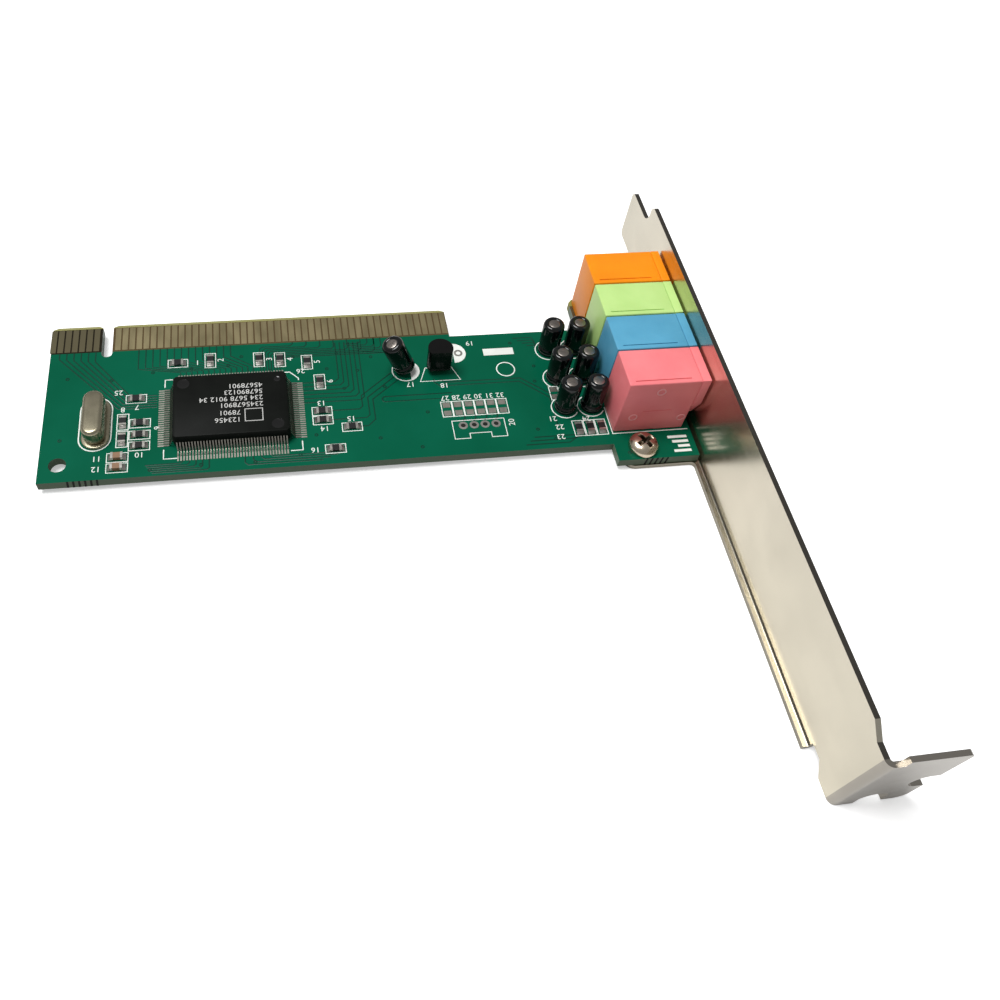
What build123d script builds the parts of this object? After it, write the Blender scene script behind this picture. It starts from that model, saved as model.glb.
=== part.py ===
from build123d import *
import math
import os

# PCI sound card, lying on its solder side with the components up.
# Millimetres. X runs along the edge connector towards the bracket, Y across the
# board towards the contact tips and Z up. The origin is the middle of the overall
# box, at the level that the card rests on.

# Board
board_t = 1.6
board_left = 74.0          # from the connector datum to the board's free end
board_near = 29.3          # from the contacts' root line to the near edge
board_right = 39.75        # from the connector datum to the edge beside the bracket
jack_area_left = 24.8      # where the board widens under the jacks
jack_area_near = 33.05
jack_area_far = 7.6
board_far_set = 0.8        # far edge beside the connector, nearer than the contacts' root
corner_hole_r = 1.45
corner_hole_in = 3.1       # from the board's free end
corner_hole_up = 3.6       # from the near edge

# Edge connector
pitch = 1.27
pad_w = 1.0
pad_len = 5.6
pad_t = 0.06
tab_reach = 6.8
bevel_len = 1.0
bevel_drop = 0.45
tab_right_set = 0.6        # right wall of the tab, left of the datum
tab_corner = 0.8
key_after = 49             # the key notch stands in place of the next two contacts
key_missing = 2
last_contact = 58
key_w = 1.9
key_bottom = 1.5

# Bracket, folded from one sheet
sheet_t = 0.86
bracket_w = 18.42
bracket_len = 120.0
plate_gap = 0.45           # between the board's edge and the plate
fold_r = 0.35
ear_len = 11.43
ear_corner_r = 1.8
ear_tip = 0.5
slot_w = 4.42
slot_len = 3.7
slot_from_plate = 5.0      # slot's centre line from the plate's outer face
end_notch_len = 3.2
end_notch_up = 7.9         # centre of the notch in the ear's end, from the lower edge
neck_cut = 1.6
neck_len = 6.1
neck_ramp = 2.6
flange_w = 0.97
flange_end_gap = 8.6       # from the ear's outer face to the end of the flange
flange_far_gap = 21.0      # from the tongue's tip to the other end of the flange
relief_up = 2.2
relief_len = 2.4
relief_ramp = 2.2
shoulder_w = 4.115         # on either side of the tongue
tongue_len = 9.9
tongue_tip_past = 25.1     # tongue's tip from the contacts' root line
shoulder_r = 2.2
shoulder_outer_r = 1.4
tip_r = 1.2
tab_w = 6.2
tab_len = 13.8
tab_past = 0.25            # the tab shows past the board's near edge
tab_corner_r = 2.0
tab_root_r = 0.8

# Bracket screw
screw_r = 1.45
screw_short = 0.1          # its tip stays inside the tab
screw_head_r = 2.7
screw_head_h = 1.9
screw_head_bevel = 0.9
screw_x = 29.9
screw_up = 2.75            # from the wide part's near edge
screw_gap = 0.15
thread_gap = 0.03

# Jacks
jack_count = 4
jack_pitch = 8.37
jack_gap = 0.1
jack_h = 12.2
jack_back = 25.3
jack_first = 26.67         # near side of the row, from the contacts' root line
jack_axis = 6.4            # above the board
jack_collar = 1.6
jack_face_gap = 0.3
nose_r = 3.0
nose_past = 1.0
nose_gap = 0.3
bore_r = 1.8
bore_len = 13.5
jack_edge = 0.25
jack_pin_w = 0.8
jack_pin_t = 0.4
jack_leads = [(1.8, 0.0), (7.2, 2.6), (11.2, -2.6)]   # from the back and the middle of each jack

# Leads through the board
lead_w = 0.45
lead_gap = 0.03
lead_past = 0.75

# Audio chip
chip_x = 41.93
chip_y = 16.83
chip_l = 20.0
chip_w = 14.0
chip_top = 2.9
chip_stand = 0.25
chip_mid = 1.55
chip_draft = 8.0
chip_corner = 0.5
long_side_count = 38
short_side_count = 26
lead_pitch = 0.5
chip_lead_w = 0.22
chip_lead_t = 0.15
slope = 0.75
foot = 0.95

# Crystal
crystal_x = 65.0
crystal_y = 17.4
crystal_l = 10.2
crystal_w = 3.8
crystal_h = 3.6
crystal_rim = 0.45
crystal_rim_h = 0.5
crystal_pins = 4.88

# Electrolytic capacitors
cap_r = 2.0
cap_h = 7.0
cap_leads = 1.5
cap_bevel = 0.3
cap_columns = [17.8, 22.7]
cap_rows = [5.8, 13.0, 20.2]
cap_side = 10.2            # the capacitor that leans over, beside the regulator
cap_side_y = 8.9
cap_side_lean = 24.0

# Voltage regulator
reg_x = 4.0
reg_y = 9.3
reg_r = 2.3
reg_flat = 1.3
reg_h = 4.6
reg_stand = 1.2
reg_pins = 1.27

# Surface-mount resistors and capacitors
smd_l = 2.0
smd_w = 1.25
smd_h = 0.55
smd_cap_h = 0.8
smd_end = 0.4
smd_skin = 0.04

# Places on the board, measured from the connector datum
lying_resistors = [(-58.5, -12.1), (-57.7, -17.7), (-57.7, -20.3), (-57.7, -22.7), (-51.4, -4.1),
                   (-26.2, -17.5), (-26.2, -19.6), (-21.2, -21.5), (-24.5, -26.1)]
standing_resistors = [(-60.6, -17.2), (-60.6, -21.0), (-45.6, -3.8), (-36.8, -4.2), (-33.0, -4.5),
                      (-28.1, -5.5), (-26.1, -10.5), (19.3, -25.2), (21.4, -25.2), (23.5, -25.2)]
lying_capacitors = [(-61.2, -24.9), (-61.2, -27.1)]

# Worked out from the sizes above
plate_in = board_right + plate_gap
plate_out = plate_in + sheet_t
ear_end = plate_in + ear_len
ear_out = tongue_tip_past - bracket_len
board_top = sheet_t + board_t
fold_out = fold_r + sheet_t
jack_face = plate_in - jack_face_gap
jack_w = jack_pitch - jack_gap
screw_y = screw_up - jack_area_near
screw_tip = screw_short - board_t - sheet_t
key_middle = -pitch * (key_after + (key_missing + 1) / 2)

# The connector datum in the part's frame, and the planes that the pieces stand on
datum_x = (board_left - ear_end) / 2
datum_y = -(tongue_tip_past + ear_out) / 2
card = Plane(origin=(datum_x, datum_y, board_top))
ground = Plane(origin=(datum_x, datum_y, 0))


def across(x, height):
    """An upright plane at x that faces the bracket, with y to its right."""
    return Plane(origin=(datum_x + x, datum_y, height), x_dir=(0, 1, 0), z_dir=(1, 0, 0))


def along(y, height):
    """An upright plane at y that faces the near side, with x to its right."""
    return Plane(origin=(datum_x, datum_y + y, height), x_dir=(1, 0, 0), z_dir=(0, -1, 0))


def jack_y(index):
    """The middle of one jack, counted from the near side."""
    return jack_pitch * (index + 0.5) - jack_first


cap_places = [(x, -y) for y in cap_rows for x in cap_columns]
cap_lead_places = [(x, y + side * cap_leads / 2) for x, y in cap_places for side in (-1, 1)]
side_cap_lead_places = [(-cap_side, -cap_side_y + side * cap_leads / 2) for side in (-1, 1)]
regulator_lead_places = [(-reg_x + reg_pins * i, -reg_y) for i in (-1, 0, 1)]
crystal_lead_places = [(-crystal_x, -crystal_y + side * crystal_pins / 2) for side in (-1, 1)]
jack_lead_places = [(jack_back + dx, jack_y(i) + dy) for i in range(jack_count)
                    for dx, dy in jack_leads]


# Circuit board, with its contact tab, key notch and holes
with BuildPart() as circuit_board:
    with BuildSketch(card.offset(-board_t)) as outline:
        with BuildLine():
            Polyline(
                (-board_left, -board_near),
                (jack_area_left, -board_near),
                (jack_area_left, -jack_area_near),
                (board_right, -jack_area_near),
                (board_right, jack_area_far),
                (jack_area_left, jack_area_far),
                (jack_area_left, -board_far_set),
                (-tab_right_set, -board_far_set),
                (-tab_right_set, tab_reach),
                (-board_left, tab_reach),
                close=True,
            )
        make_face()
        with Locations((key_middle, (tab_reach - key_bottom) / 2)):
            Rectangle(key_w, tab_reach + key_bottom, mode=Mode.SUBTRACT)
        notch_floor = outline.vertices().filter_by(lambda v: abs(v.Y + key_bottom) < 0.01)
        fillet(notch_floor, key_w / 2 - 0.1)
        chamfer(outline.vertices().filter_by(lambda v: v.Y > tab_reach - 0.01), tab_corner)
    extrude(amount=board_t)
    for level, inward in ((0, -1), (-board_t, 1)):
        with BuildSketch(across(-board_left, board_top)):
            with BuildLine():
                Polyline(
                    (tab_reach - bevel_len, level),
                    (tab_reach, level),
                    (tab_reach, level + inward * bevel_drop),
                    close=True,
                )
            make_face()
        extrude(amount=board_left, mode=Mode.SUBTRACT)
    with Locations(card.offset(-board_t / 2)):
        with Locations((corner_hole_in - board_left, corner_hole_up - board_near)):
            Cylinder(corner_hole_r, board_t, mode=Mode.SUBTRACT)
        with Locations((screw_x, screw_y)):
            Cylinder(screw_r + screw_gap, board_t, mode=Mode.SUBTRACT)
        with Locations(side_cap_lead_places + regulator_lead_places):
            Box(lead_w + 2 * lead_gap, lead_w + 2 * lead_gap, board_t, mode=Mode.SUBTRACT)

# Gold-plated contact pads on the component face of the tab
contact_numbers = [n for n in range(1, last_contact + 1) if not key_after < n <= key_after + key_missing]
contact_places = [(-pitch * n, pad_len / 2) for n in contact_numbers]
with BuildPart() as contacts_top:
    with Locations(card.offset(pad_t / 2)):
        with Locations(contact_places):
            Box(pad_w, pad_len, pad_t)

# Bracket: one folded sheet, kept as its plate, its tab and its ear, which meet at the folds
fold_y = ear_out + fold_out
flange_near = ear_out + flange_end_gap
flange_far = tongue_tip_past - flange_far_gap
shoulder_y = tongue_tip_past - tongue_len
tongue_low = shoulder_w
tongue_high = bracket_w - shoulder_w
neck_y = ear_out + neck_len
relief_near = flange_near - relief_len
relief_far = flange_far + relief_len
with BuildPart() as bracket_plate:
    with BuildSketch(across(plate_in, 0)) as blank:
        with BuildLine():
            Polyline(
                (fold_y, 0),
                (relief_near - relief_ramp, 0),
                (relief_near, relief_up),
                (flange_near, relief_up),
                (flange_near, fold_out),
                (flange_far, fold_out),
                (flange_far, relief_up),
                (relief_far, relief_up),
                (relief_far + relief_ramp, 0),
                (shoulder_y, 0),
                (shoulder_y, tongue_low),
                (tongue_tip_past, tongue_low),
                (tongue_tip_past, tongue_high),
                (shoulder_y, tongue_high),
                (shoulder_y, bracket_w),
                (neck_y, bracket_w),
                (neck_y - neck_ramp, bracket_w - neck_cut),
                (fold_y, bracket_w - neck_cut),
                close=True,
            )
        make_face()
        fillet(blank.vertices().group_by(Axis.X)[-1], tip_r)
        shoulders = blank.vertices().filter_by(lambda v: abs(v.X - shoulder_y) < 0.01).sort_by(Axis.Y)
        fillet([shoulders[0], shoulders[-1]], shoulder_outer_r)
        shoulders = blank.vertices().filter_by(lambda v: abs(v.X - shoulder_y) < 0.01)
        fillet(shoulders.filter_by(lambda v: tongue_low - 0.01 < v.Y < tongue_high + 0.01), shoulder_r)
        with Locations([(jack_y(i), board_top + jack_axis) for i in range(jack_count)]):
            Circle(nose_r + nose_gap, mode=Mode.SUBTRACT)
    extrude(amount=sheet_t)

# The fold under the plate, with the flange and the tab that the board is screwed to
with BuildPart() as bracket_tab:
    with BuildSketch(along(flange_far, 0)):
        with BuildLine():
            Line((plate_in, fold_out), (plate_out, fold_out))
            CenterArc((plate_in - fold_r, fold_out), fold_out, -90, 90)
            Line((plate_in - fold_r, 0), (plate_in - fold_r, sheet_t))
            CenterArc((plate_in - fold_r, fold_out), fold_r, -90, 90)
        make_face()
    extrude(amount=flange_far - flange_near)
    with BuildSketch(ground) as flange:
        with Locations((plate_in - fold_r, (flange_near + flange_far) / 2)):
            Rectangle(flange_w - fold_r, flange_far - flange_near, align=(Align.MAX, Align.CENTER))
        with Locations((plate_in - fold_r, -jack_area_near - tab_past)):
            Rectangle(tab_len - fold_r, tab_w, align=(Align.MAX, Align.MIN))
        fillet(flange.vertices().group_by(Axis.X)[0], tab_corner_r)
        roots = flange.vertices().filter_by(lambda v: abs(v.X - plate_in + flange_w) < 0.01)
        fillet(roots.sort_by(Axis.Y)[1:3], tab_root_r)
        with Locations((screw_x, screw_y)):
            Circle(screw_r + thread_gap, mode=Mode.SUBTRACT)
    extrude(amount=sheet_t)

# The ear, folded outwards, with its screw slot and end notch
with BuildPart() as bracket_ear:
    with BuildSketch(ground):
        with BuildLine():
            CenterArc((plate_in + fold_out, fold_y), fold_out, 180, 90)
            Polyline(
                (plate_in + fold_out, ear_out),
                (ear_end, ear_out),
                (ear_end, ear_out + sheet_t),
                (plate_in + fold_out, ear_out + sheet_t),
            )
            CenterArc((plate_in + fold_out, fold_y), fold_r, 180, 90)
            Line((plate_out, fold_y), (plate_in, fold_y))
        make_face()
    extrude(amount=bracket_w)
    with BuildSketch(along(ear_out + fold_out, 0)):
        with Locations((plate_in + fold_out, bracket_w)):
            Rectangle(2 * fold_out, 2 * neck_cut, mode=Mode.ADD)
    extrude(amount=fold_out, mode=Mode.SUBTRACT)
    ear_corners = bracket_ear.edges().filter_by(Axis.Y).group_by(Axis.X)[-1].sort_by(Axis.Z)
    fillet(ear_corners[0], ear_corner_r)
    chamfer(bracket_ear.edges().filter_by(Axis.Y).group_by(Axis.X)[-1].sort_by(Axis.Z)[-1], ear_tip)
    with BuildSketch(along(ear_out + sheet_t, 0)):
        with Locations((plate_out + slot_from_plate, slot_len - slot_w / 2)):
            Circle(slot_w / 2)
            Rectangle(slot_w, slot_len, align=(Align.CENTER, Align.MAX))
        with Locations((ear_end - end_notch_len + slot_w / 2, end_notch_up)):
            Circle(slot_w / 2)
            Rectangle(end_notch_len, slot_w, align=(Align.MIN, Align.CENTER))
    extrude(amount=sheet_t, mode=Mode.SUBTRACT)

# Screw through the board into the bracket's tab
with BuildPart() as bracket_screw:
    with BuildSketch(along(screw_y, board_top)):
        with BuildLine():
            Polyline(
                (screw_x, screw_head_h),
                (screw_x, screw_tip),
                (screw_x + screw_r, screw_tip),
                (screw_x + screw_r, 0),
                (screw_x + screw_head_r, 0),
                (screw_x + screw_head_r, screw_head_h - screw_head_bevel),
                (screw_x + screw_head_r - screw_head_bevel, screw_head_h),
                close=True,
            )
        make_face()
    revolve(axis=Axis((datum_x + screw_x, datum_y + screw_y, 0), (0, 0, 1)))

# Jack housings, one colour each, with the nose through the bracket and the bore
jack_colours = ["pink", "blue", "green", "orange"]
jacks = []
for i in range(jack_count):
    with BuildPart() as jack:
        with BuildSketch(across(jack_back, board_top)):
            with Locations((jack_y(i), 0)):
                Rectangle(jack_w, jack_h, align=(Align.CENTER, Align.MIN))
        extrude(amount=jack_face - jack_collar - jack_back)
        with BuildSketch(across(jack_face - jack_collar, board_top)):
            with Locations((jack_y(i), jack_axis)):
                Rectangle(jack_w, jack_h - jack_axis, align=(Align.CENTER, Align.MIN))
                Trapezoid(jack_w, jack_w / 2, 67.5, rotation=180, align=(Align.CENTER, Align.MIN))
        extrude(amount=jack_collar)
        chamfer(jack.edges().group_by(Axis.X)[0].sort_by(Axis.Z)[-1], jack_edge)
        with BuildSketch(across(jack_face, board_top)):
            with Locations((jack_y(i), jack_axis)):
                Circle(nose_r)
        extrude(amount=plate_out + nose_past - jack_face)
        with BuildSketch(across(plate_out + nose_past, board_top)):
            with Locations((jack_y(i), jack_axis)):
                Circle(bore_r)
        extrude(amount=-bore_len, mode=Mode.SUBTRACT)
    jack.part.label = "jack_" + jack_colours[i % len(jack_colours)]
    jacks.append(jack.part)

with BuildPart() as jack_pins:
    with Locations(card.offset(-board_t)):
        with Locations(jack_lead_places):
            Box(jack_pin_t, jack_pin_w, lead_past, align=(Align.CENTER, Align.CENTER, Align.MAX))

# Audio chip: the moulded body and its gull-wing leads
with BuildPart() as chip_body:
    with BuildSketch(card.offset(chip_mid)) as chip_plan:
        with Locations((-chip_x, -chip_y)):
            Rectangle(chip_l, chip_w)
        chamfer(chip_plan.vertices(), chip_corner)
    extrude(amount=chip_top - chip_mid, taper=chip_draft)
    extrude(chip_plan.sketch, amount=-(chip_mid - chip_stand), taper=chip_draft)


def lead_planes(turn, half, count):
    """Upright planes through the leads of one side of the chip, each facing outwards."""
    outward = Vector(1, 0, 0).rotate(Axis.Z, turn)
    beside = Vector(0, 1, 0).rotate(Axis.Z, turn)
    middle = card.origin + Vector(-chip_x, -chip_y, 0) + outward * half
    places = [middle + beside * lead_pitch * (k - (count - 1) / 2) for k in range(count)]
    return [Plane(origin=place, x_dir=outward, z_dir=beside * -1) for place in places]


with BuildPart() as chip_leads:
    sides = []
    for turn in (0, 180):
        sides += lead_planes(turn, chip_l / 2, short_side_count)
    for turn in (90, 270):
        sides += lead_planes(turn, chip_w / 2, long_side_count)
    with BuildSketch(*sides):
        with BuildLine():
            Polyline(
                (0, chip_mid + chip_lead_t / 2),
                (slope, chip_lead_t),
                (slope + foot, chip_lead_t),
                (slope + foot, 0),
                (slope - chip_lead_t, 0),
                (0, chip_mid - chip_lead_t / 2),
                close=True,
            )
        make_face()
    extrude(amount=chip_lead_w / 2, both=True)

# Crystal can on its base
with BuildPart() as crystal:
    with BuildSketch(card):
        with Locations((-crystal_x, -crystal_y)):
            SlotOverall(crystal_l + 2 * crystal_rim, crystal_w + 2 * crystal_rim, rotation=90)
    extrude(amount=crystal_rim_h)
    with BuildSketch(card.offset(crystal_rim_h)):
        with Locations((-crystal_x, -crystal_y)):
            SlotOverall(crystal_l, crystal_w, rotation=90)
    extrude(amount=crystal_h - crystal_rim_h)
with BuildPart() as crystal_pins_part:
    with Locations(card.offset(-board_t)):
        with Locations(crystal_lead_places):
            Box(lead_w, lead_w, lead_past, align=(Align.CENTER, Align.CENTER, Align.MAX))

# Electrolytic capacitors: a round can in its sleeve, with a rolled top edge
sleeves = []


def sleeve(seat):
    """One capacitor that stands on the plane seat."""
    with BuildPart() as body:
        with BuildSketch(Plane(origin=seat.origin, x_dir=seat.x_dir, z_dir=-seat.y_dir)):
            with BuildLine():
                Polyline(
                    (0, 0),
                    (cap_r, 0),
                    (cap_r, cap_h - cap_bevel),
                    (cap_r - cap_bevel, cap_h),
                    (0, cap_h),
                    close=True,
                )
            make_face()
        revolve(axis=Axis(seat.origin, seat.z_dir))
    return body.part


for x, y in cap_places:
    sleeves.append(sleeve(Plane(origin=card.origin + Vector(x, y, 0))))
lean = math.radians(cap_side_lean)
side_seat = Plane(
    origin=card.origin + Vector(-cap_side, -cap_side_y, cap_r * math.sin(lean)),
    x_dir=(math.cos(lean), 0, math.sin(lean)),
    z_dir=(-math.sin(lean), 0, math.cos(lean)),
)
sleeves.append(sleeve(side_seat))

with BuildPart() as capacitor_leads:
    with Locations(card.offset(-board_t)):
        with Locations(cap_lead_places):
            Box(lead_w, lead_w, lead_past, align=(Align.CENTER, Align.CENTER, Align.MAX))
    with Locations(card.offset(-board_t - lead_past)):
        with Locations(side_cap_lead_places):
            Box(
                lead_w,
                lead_w,
                board_t + lead_past + cap_r * math.sin(lean) - lead_w / 2 * math.tan(lean),
                align=(Align.CENTER, Align.CENTER, Align.MIN),
            )

# Voltage regulator: a D-shaped body on three legs
with BuildPart() as regulator:
    with BuildSketch(card.offset(reg_stand)):
        with Locations((-reg_x, -reg_y)):
            Circle(reg_r)
        with Locations((-reg_x, -reg_y - reg_flat)):
            Rectangle(3 * reg_r, 2 * reg_r, align=(Align.CENTER, Align.MAX), mode=Mode.SUBTRACT)
    extrude(amount=reg_h)
with BuildPart() as regulator_leads:
    with Locations(card.offset(-board_t - lead_past)):
        with Locations(regulator_lead_places):
            Box(lead_w, lead_w, board_t + lead_past + reg_stand, align=(Align.CENTER, Align.CENTER, Align.MIN))

# Surface-mount parts: ceramic bodies between tinned ends
smd_all = [(place, 0, smd_h) for place in lying_resistors]
smd_all += [(place, 90, smd_h) for place in standing_resistors]
smd_all += [(place, 0, smd_cap_h) for place in lying_capacitors]
low = (Align.CENTER, Align.CENTER, Align.MIN)
with BuildPart() as resistor_bodies:
    for place, turn, height in smd_all:
        if height == smd_h:
            with Locations(card * Location((place[0], place[1], smd_skin), turn)):
                Box(smd_l - 2 * smd_end, smd_w - 2 * smd_skin, height - 2 * smd_skin, align=low)
with BuildPart() as ceramic_bodies:
    for place, turn, height in smd_all:
        if height == smd_cap_h:
            with Locations(card * Location((place[0], place[1], smd_skin), turn)):
                Box(smd_l - 2 * smd_end, smd_w - 2 * smd_skin, height - 2 * smd_skin, align=low)
with BuildPart() as tinned_ends:
    for place, turn, height in smd_all:
        with Locations(card * Location((place[0], place[1], 0), turn)):
            with Locations([(-(smd_l - smd_end) / 2, 0), ((smd_l - smd_end) / 2, 0)]):
                Box(smd_end, smd_w, height, align=low)

# Write each piece
os.makedirs("parts", exist_ok=True)
circuit_board.part.label = "circuit_board"
contacts_top.part.label = "contacts_top"
bracket_plate.part.label = "bracket_plate"
bracket_tab.part.label = "bracket_tab"
bracket_ear.part.label = "bracket_ear"
bracket_screw.part.label = "bracket_screw"
jack_pins.part.label = "jack_pins"
chip_body.part.label = "chip_body"
chip_leads.part.label = "chip_leads"
crystal.part.label = "crystal_can"
crystal_pins_part.part.label = "crystal_pins"
capacitor_leads.part.label = "capacitor_leads"
regulator.part.label = "regulator_body"
regulator_leads.part.label = "regulator_leads"
resistor_bodies.part.label = "resistor_bodies"
ceramic_bodies.part.label = "ceramic_bodies"
tinned_ends.part.label = "tinned_ends"
for number, body in enumerate(sleeves, 1):
    body.label = f"capacitor_{number}"
builders = [circuit_board, contacts_top, bracket_plate, bracket_tab, bracket_ear, bracket_screw,
            jack_pins, chip_body, chip_leads, crystal, crystal_pins_part, capacitor_leads, regulator,
            regulator_leads, resistor_bodies, ceramic_bodies, tinned_ends]
for piece in [builder.part for builder in builders] + jacks + sleeves:
    export_step(piece, f"parts/{piece.label}.step")
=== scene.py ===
import math

import bpy
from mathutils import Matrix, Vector


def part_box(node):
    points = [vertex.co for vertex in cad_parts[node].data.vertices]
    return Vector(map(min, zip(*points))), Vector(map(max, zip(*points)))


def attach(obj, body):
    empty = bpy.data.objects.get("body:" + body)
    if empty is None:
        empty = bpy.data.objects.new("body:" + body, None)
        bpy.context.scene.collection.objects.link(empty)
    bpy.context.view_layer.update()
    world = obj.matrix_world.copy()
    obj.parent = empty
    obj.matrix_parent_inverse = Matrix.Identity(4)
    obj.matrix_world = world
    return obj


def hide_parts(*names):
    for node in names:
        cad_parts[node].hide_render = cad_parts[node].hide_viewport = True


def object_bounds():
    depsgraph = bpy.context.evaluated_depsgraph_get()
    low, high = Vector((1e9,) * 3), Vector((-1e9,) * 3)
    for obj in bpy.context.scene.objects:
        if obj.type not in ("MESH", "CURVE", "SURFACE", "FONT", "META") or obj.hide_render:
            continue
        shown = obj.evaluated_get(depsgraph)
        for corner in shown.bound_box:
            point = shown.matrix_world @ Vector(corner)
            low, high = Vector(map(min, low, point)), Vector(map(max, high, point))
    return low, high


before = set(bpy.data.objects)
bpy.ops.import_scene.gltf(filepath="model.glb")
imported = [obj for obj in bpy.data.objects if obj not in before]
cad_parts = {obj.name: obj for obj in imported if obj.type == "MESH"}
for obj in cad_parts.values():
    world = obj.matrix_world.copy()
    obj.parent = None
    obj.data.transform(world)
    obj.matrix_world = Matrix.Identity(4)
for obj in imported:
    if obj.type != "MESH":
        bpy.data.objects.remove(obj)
cad_low, cad_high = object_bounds()

MM = 0.001


# Places, read from the frame. The card's own marks are counted from the connector
# datum, on the contacts' root line and one pitch right of the middle of contact 1.
board_low, board_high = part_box("circuit_board")
contact_low, contact_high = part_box("contacts_top")
chip_low, chip_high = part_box("chip_body")
screw_low, screw_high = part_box("bracket_screw")
screw_middle = (screw_low + screw_high) / 2
plate_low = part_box("bracket_plate")[0]
crystal_low, crystal_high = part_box("crystal_can")
jack_low, jack_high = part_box("jack_pink")


# Sizes. Those without MM are millimetres, and are scaled where they are used.
# Each contact row has its first place in steps from contact 1, and its count.
CONTACT_STEP = 1.27
PITCH = CONTACT_STEP * MM
CONTACT_ROWS = ((0, 49), (51, 7))
CONTACT_WIDTH = 1.0 * MM
CONTACT_THICK = 0.06 * MM
DATUM_X = contact_high.x + PITCH - CONTACT_WIDTH / 2
DATUM_Y = contact_low.y
TOP = board_high.z
UNDER = board_low.z
INK = 0.03 * MM
INK_LINE = 0.22 * MM
TRACK_LINE = 0.26 * MM
TRACK_RISE = 0.022 * MM
NEAR_EDGE = -29.3
KEY_NOTCH = -63.5
CHIP_PITCH = 0.5 * MM
CHIP_SHORT_ROW = 26
CHIP_LONG_ROW = 38
PARTING_HEIGHT = 1.3 * MM
JACK_SEAM = 0.08 * MM
JACK_PITCH = 8.37
JACK_AXIS = 6.4 * MM
JACK_COLOURS = ("pink", "blue", "green", "orange")
EJECTOR_PLACES = ((6.18, 10.04), (2.73, 3.72), (11.88, 2.94))
REGULATOR_STEP = 1.27
SOFT_EDGES = (
    ("regulator_body", 0.16),
    ("tinned_ends", 0.06),
    ("resistor_bodies", 0.04),
    ("ceramic_bodies", 0.05),
)


def on_card(x, y, z=0.0):
    """A point counted in millimetres from the connector datum on the board's top face."""
    return Vector((DATUM_X + x * MM, DATUM_Y + y * MM, TOP + z * MM))


# Places of the small parts, in millimetres from the datum
lying_resistors = [(-58.5, -12.1), (-57.7, -17.7), (-57.7, -20.3), (-57.7, -22.7), (-51.4, -4.1),
                   (-26.2, -17.5), (-26.2, -19.6), (-21.2, -21.5), (-24.5, -26.1)]
standing_resistors = [(-60.6, -17.2), (-60.6, -21.0), (-45.6, -3.8), (-36.8, -4.2), (-33.0, -4.5),
                      (-28.1, -5.5), (-26.1, -10.5), (19.3, -25.2), (21.4, -25.2), (23.5, -25.2)]
lying_capacitors = [(-61.2, -24.9), (-61.2, -27.1)]
small_parts = [(x, y, 0.0) for x, y in lying_resistors + lying_capacitors]
small_parts += [(x, y, 90.0) for x, y in standing_resistors]
empty_parts = [(-3.81 + 2.046 * i, -18.87) for i in range(6)]
lone_empty_part = (16.7, -16.6)
header_holes = [(-1.5 + 2.0 * i, -22.85) for i in range(4)]
empty_can_holes = [(0.4, -5.3), (-1.5, -5.3)]
empty_can_middle = (-0.6, -5.25)
cap_places = [(x, -y) for y in (5.8, 13.0, 20.2) for x in (17.8, 22.7)]
leaning_place = (-10.2, -8.9)
leaning_ring = (leaning_place[0] + 0.1, leaning_place[1] - 0.1)
LEAN = math.radians(24.0)


# Materials


def new_material(name, colour, roughness, metallic=0.0):
    material = bpy.data.materials.new(name)
    material.use_nodes = True
    shader = material.node_tree.nodes["Principled BSDF"]
    shader.inputs["Base Color"].default_value = (*colour, 1.0)
    shader.inputs["Roughness"].default_value = roughness
    shader.inputs["Metallic"].default_value = metallic
    return material, shader


def object_noise(material, scale, detail=4.0, stretch=(1.0, 1.0, 1.0)):
    """A noise that follows the object's own coordinates."""
    nodes = material.node_tree.nodes
    links = material.node_tree.links
    place = nodes.new("ShaderNodeTexCoord")
    mapping = nodes.new("ShaderNodeMapping")
    mapping.inputs["Scale"].default_value = stretch
    noise = nodes.new("ShaderNodeTexNoise")
    noise.inputs["Scale"].default_value = scale
    noise.inputs["Detail"].default_value = detail
    links.new(place.outputs["Object"], mapping.inputs["Vector"])
    links.new(mapping.outputs["Vector"], noise.inputs["Vector"])
    return noise


def vary_colour(material, shader, noise, dark, light, low=0.35, high=0.65):
    nodes = material.node_tree.nodes
    links = material.node_tree.links
    ramp = nodes.new("ShaderNodeValToRGB")
    ramp.color_ramp.elements[0].position = low
    ramp.color_ramp.elements[0].color = (*dark, 1.0)
    ramp.color_ramp.elements[1].position = high
    ramp.color_ramp.elements[1].color = (*light, 1.0)
    links.new(noise.outputs["Fac"], ramp.inputs["Fac"])
    links.new(ramp.outputs["Color"], shader.inputs["Base Color"])


def vary_roughness(material, shader, noise, low, high):
    nodes = material.node_tree.nodes
    links = material.node_tree.links
    spread = nodes.new("ShaderNodeMapRange")
    spread.inputs["To Min"].default_value = low
    spread.inputs["To Max"].default_value = high
    links.new(noise.outputs["Fac"], spread.inputs["Value"])
    links.new(spread.outputs["Result"], shader.inputs["Roughness"])


def add_bump(material, shader, noise, strength, distance):
    nodes = material.node_tree.nodes
    links = material.node_tree.links
    bump = nodes.new("ShaderNodeBump")
    bump.inputs["Strength"].default_value = strength
    bump.inputs["Distance"].default_value = distance
    links.new(noise.outputs["Fac"], bump.inputs["Height"])
    links.new(bump.outputs["Normal"], shader.inputs["Normal"])


def overlay(material, shader, mask, colour):
    """Paints a colour over the present base colour where the mask is 1."""
    nodes = material.node_tree.nodes
    links = material.node_tree.links
    mix = nodes.new("ShaderNodeMix")
    mix.data_type = "RGBA"
    links.new(mask, mix.inputs["Factor"])
    present = shader.inputs["Base Color"].links[0].from_socket
    links.new(present, mix.inputs["A"])
    mix.inputs["B"].default_value = (*colour, 1.0)
    links.new(mix.outputs["Result"], shader.inputs["Base Color"])


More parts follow.
